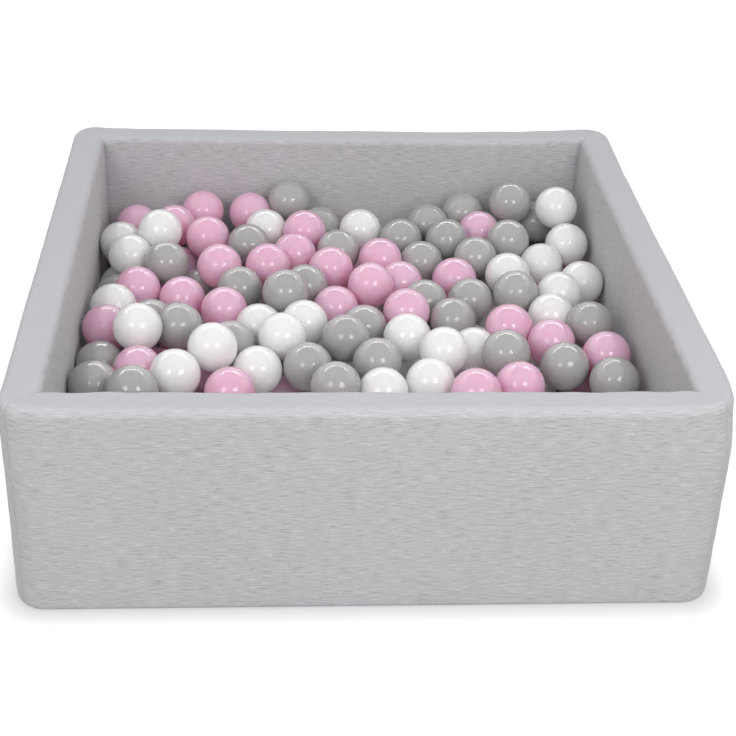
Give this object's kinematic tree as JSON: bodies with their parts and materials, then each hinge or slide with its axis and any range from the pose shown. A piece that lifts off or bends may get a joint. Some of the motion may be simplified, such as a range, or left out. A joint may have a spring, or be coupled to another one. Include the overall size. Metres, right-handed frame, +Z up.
{
  "type": "ball pit",
  "caption": "Square foam-walled ball pit in a sewn grey jersey cover with a zip, filled with loose plastic balls.",
  "frame": {"origin": "on the floor, under the middle of the square pit", "axes": "+X to the right and +Y to the back as seen from the front, +Z up"},
  "size_m": [0.9, 0.9069, 0.3],
  "materials": {
    "jersey": "heather grey cotton jersey",
    "foam": "open-cell cushion foam",
    "zip_tape": "woven tape",
    "zip_coil": "satin nylon",
    "zip_metal": "satin nickel",
    "ball_white": "glossy white",
    "ball_pink": "glossy pastel pink",
    "ball_grey": "glossy warm grey"
  },
  "bodies": {
    "pit": {"cover_front": "jersey", "cover_back": "jersey", "cover_left": "jersey", "cover_right": "jersey", "cover_floor": "jersey", "cover_underside": "jersey", "foam_wall_front": "foam", "foam_wall_back": "foam", "foam_wall_left": "foam", "foam_wall_right": "foam", "foam_base_pad": "foam", "zip_tape_upper": "zip_tape", "zip_tape_lower": "zip_tape", "zip_coil_upper": "zip_coil", "zip_coil_lower": "zip_coil", "zip_stop_closed_end": "zip_metal", "zip_stop_open_end": "zip_metal", "lower_balls": "ball_grey", "ball_pink_01": "ball_pink", "ball_pink_02": "ball_pink", "ball_white_01": "ball_white", "ball_grey_01": "ball_grey", "ball_pink_06": "ball_pink", "ball_white_03": "ball_white", "ball_grey_11": "ball_grey"},
    "zip_slider": {"zip_slider": "zip_metal"},
    "zip_pull": {"zip_pull": "zip_metal"},
    "ball_pink_03": {"ball_pink_03": "ball_pink"},
    "ball_grey_02": {"ball_grey_02": "ball_grey"},
    "ball_pink_04": {"ball_pink_04": "ball_pink"},
    "ball_pink_05": {"ball_pink_05": "ball_pink"},
    "ball_white_02": {"ball_white_02": "ball_white"},
    "ball_grey_03": {"ball_grey_03": "ball_grey"},
    "ball_white_04": {"ball_white_04": "ball_white"},
    "ball_grey_04": {"ball_grey_04": "ball_grey"},
    "ball_pink_07": {"ball_pink_07": "ball_pink"},
    "ball_grey_05": {"ball_grey_05": "ball_grey"},
    "ball_pink_08": {"ball_pink_08": "ball_pink"},
    "ball_grey_06": {"ball_grey_06": "ball_grey"},
    "ball_grey_07": {"ball_grey_07": "ball_grey"},
    "ball_pink_09": {"ball_pink_09": "ball_pink"},
    "ball_pink_10": {"ball_pink_10": "ball_pink"},
    "ball_pink_11": {"ball_pink_11": "ball_pink"},
    "ball_grey_08": {"ball_grey_08": "ball_grey"},
    "ball_pink_12": {"ball_pink_12": "ball_pink"},
    "ball_pink_13": {"ball_pink_13": "ball_pink"},
    "ball_pink_14": {"ball_pink_14": "ball_pink"},
    "ball_white_05": {"ball_white_05": "ball_white"},
    "ball_grey_09": {"ball_grey_09": "ball_grey"},
    "ball_grey_10": {"ball_grey_10": "ball_grey"},
    "ball_white_06": {"ball_white_06": "ball_white"},
    "ball_white_07": {"ball_white_07": "ball_white"},
    "ball_grey_12": {"ball_grey_12": "ball_grey"},
    "ball_grey_13": {"ball_grey_13": "ball_grey"},
    "ball_grey_14": {"ball_grey_14": "ball_grey"},
    "ball_white_08": {"ball_white_08": "ball_white"},
    "ball_white_09": {"ball_white_09": "ball_white"},
    "ball_white_10": {"ball_white_10": "ball_white"},
    "ball_grey_15": {"ball_grey_15": "ball_grey"},
    "ball_white_11": {"ball_white_11": "ball_white"}
  },
  "joints": [
    {"name": "zip_slider_travel", "type": "slide", "parent": "pit", "child": "zip_slider", "axis": [1, 0, 0], "range_m": [-0.6175, 0]},
    {"name": "zip_pull_swing", "type": "hinge", "parent": "zip_slider", "child": "zip_pull", "pos_m": [0.3079, 0.4548, 0.032], "axis": [1, 0, 0], "range_deg": [-6, 160]},
    {"name": "ball_pink_03_lift", "type": "slide", "parent": "pit", "child": "ball_pink_03", "axis": [0, 0, 1], "range_m": [0, 0.25]},
    {"name": "ball_grey_02_lift", "type": "slide", "parent": "pit", "child": "ball_grey_02", "axis": [0, 0, 1], "range_m": [0, 0.25]},
    {"name": "ball_pink_04_lift", "type": "slide", "parent": "pit", "child": "ball_pink_04", "axis": [0, 0, 1], "range_m": [0, 0.25]},
    {"name": "ball_pink_05_lift", "type": "slide", "parent": "pit", "child": "ball_pink_05", "axis": [0, 0, 1], "range_m": [0, 0.25]},
    {"name": "ball_white_02_lift", "type": "slide", "parent": "pit", "child": "ball_white_02", "axis": [0, 0, 1], "range_m": [0, 0.25]},
    {"name": "ball_grey_03_lift", "type": "slide", "parent": "pit", "child": "ball_grey_03", "axis": [0, 0, 1], "range_m": [0, 0.25]},
    {"name": "ball_white_04_lift", "type": "slide", "parent": "pit", "child": "ball_white_04", "axis": [0, 0, 1], "range_m": [0, 0.25]},
    {"name": "ball_grey_04_lift", "type": "slide", "parent": "pit", "child": "ball_grey_04", "axis": [0, 0, 1], "range_m": [0, 0.25]},
    {"name": "ball_pink_07_lift", "type": "slide", "parent": "pit", "child": "ball_pink_07", "axis": [0, 0, 1], "range_m": [0, 0.25]},
    {"name": "ball_grey_05_lift", "type": "slide", "parent": "pit", "child": "ball_grey_05", "axis": [0, 0, 1], "range_m": [0, 0.25]},
    {"name": "ball_pink_08_lift", "type": "slide", "parent": "pit", "child": "ball_pink_08", "axis": [0, 0, 1], "range_m": [0, 0.25]},
    {"name": "ball_grey_06_lift", "type": "slide", "parent": "pit", "child": "ball_grey_06", "axis": [0, 0, 1], "range_m": [0, 0.25]},
    {"name": "ball_grey_07_lift", "type": "slide", "parent": "pit", "child": "ball_grey_07", "axis": [0, 0, 1], "range_m": [0, 0.25]},
    {"name": "ball_pink_09_lift", "type": "slide", "parent": "pit", "child": "ball_pink_09", "axis": [0, 0, 1], "range_m": [0, 0.25]},
    {"name": "ball_pink_10_lift", "type": "slide", "parent": "pit", "child": "ball_pink_10", "axis": [0, 0, 1], "range_m": [0, 0.25]},
    {"name": "ball_pink_11_lift", "type": "slide", "parent": "pit", "child": "ball_pink_11", "axis": [0, 0, 1], "range_m": [0, 0.25]},
    {"name": "ball_grey_08_lift", "type": "slide", "parent": "pit", "child": "ball_grey_08", "axis": [0, 0, 1], "range_m": [0, 0.25]},
    {"name": "ball_pink_12_lift", "type": "slide", "parent": "pit", "child": "ball_pink_12", "axis": [0, 0, 1], "range_m": [0, 0.25]},
    {"name": "ball_pink_13_lift", "type": "slide", "parent": "pit", "child": "ball_pink_13", "axis": [0, 0, 1], "range_m": [0, 0.25]},
    {"name": "ball_pink_14_lift", "type": "slide", "parent": "pit", "child": "ball_pink_14", "axis": [0, 0, 1], "range_m": [0, 0.25]},
    {"name": "ball_white_05_lift", "type": "slide", "parent": "pit", "child": "ball_white_05", "axis": [0, 0, 1], "range_m": [0, 0.25]},
    {"name": "ball_grey_09_lift", "type": "slide", "parent": "pit", "child": "ball_grey_09", "axis": [0, 0, 1], "range_m": [0, 0.25]},
    {"name": "ball_grey_10_lift", "type": "slide", "parent": "pit", "child": "ball_grey_10", "axis": [0, 0, 1], "range_m": [0, 0.25]},
    {"name": "ball_white_06_lift", "type": "slide", "parent": "pit", "child": "ball_white_06", "axis": [0, 0, 1], "range_m": [0, 0.25]},
    {"name": "ball_white_07_lift", "type": "slide", "parent": "pit", "child": "ball_white_07", "axis": [0, 0, 1], "range_m": [0, 0.25]},
    {"name": "ball_grey_12_lift", "type": "slide", "parent": "pit", "child": "ball_grey_12", "axis": [0, 0, 1], "range_m": [0, 0.25]},
    {"name": "ball_grey_13_lift", "type": "slide", "parent": "pit", "child": "ball_grey_13", "axis": [0, 0, 1], "range_m": [0, 0.25]},
    {"name": "ball_grey_14_lift", "type": "slide", "parent": "pit", "child": "ball_grey_14", "axis": [0, 0, 1], "range_m": [0, 0.25]},
    {"name": "ball_white_08_lift", "type": "slide", "parent": "pit", "child": "ball_white_08", "axis": [0, 0, 1], "range_m": [0, 0.25]},
    {"name": "ball_white_09_lift", "type": "slide", "parent": "pit", "child": "ball_white_09", "axis": [0, 0, 1], "range_m": [0, 0.25]},
    {"name": "ball_white_10_lift", "type": "slide", "parent": "pit", "child": "ball_white_10", "axis": [0, 0, 1], "range_m": [0, 0.25]},
    {"name": "ball_grey_15_lift", "type": "slide", "parent": "pit", "child": "ball_grey_15", "axis": [0, 0, 1], "range_m": [0, 0.25]},
    {"name": "ball_white_11_lift", "type": "slide", "parent": "pit", "child": "ball_white_11", "axis": [0, 0, 1], "range_m": [0, 0.25]}
  ]
}
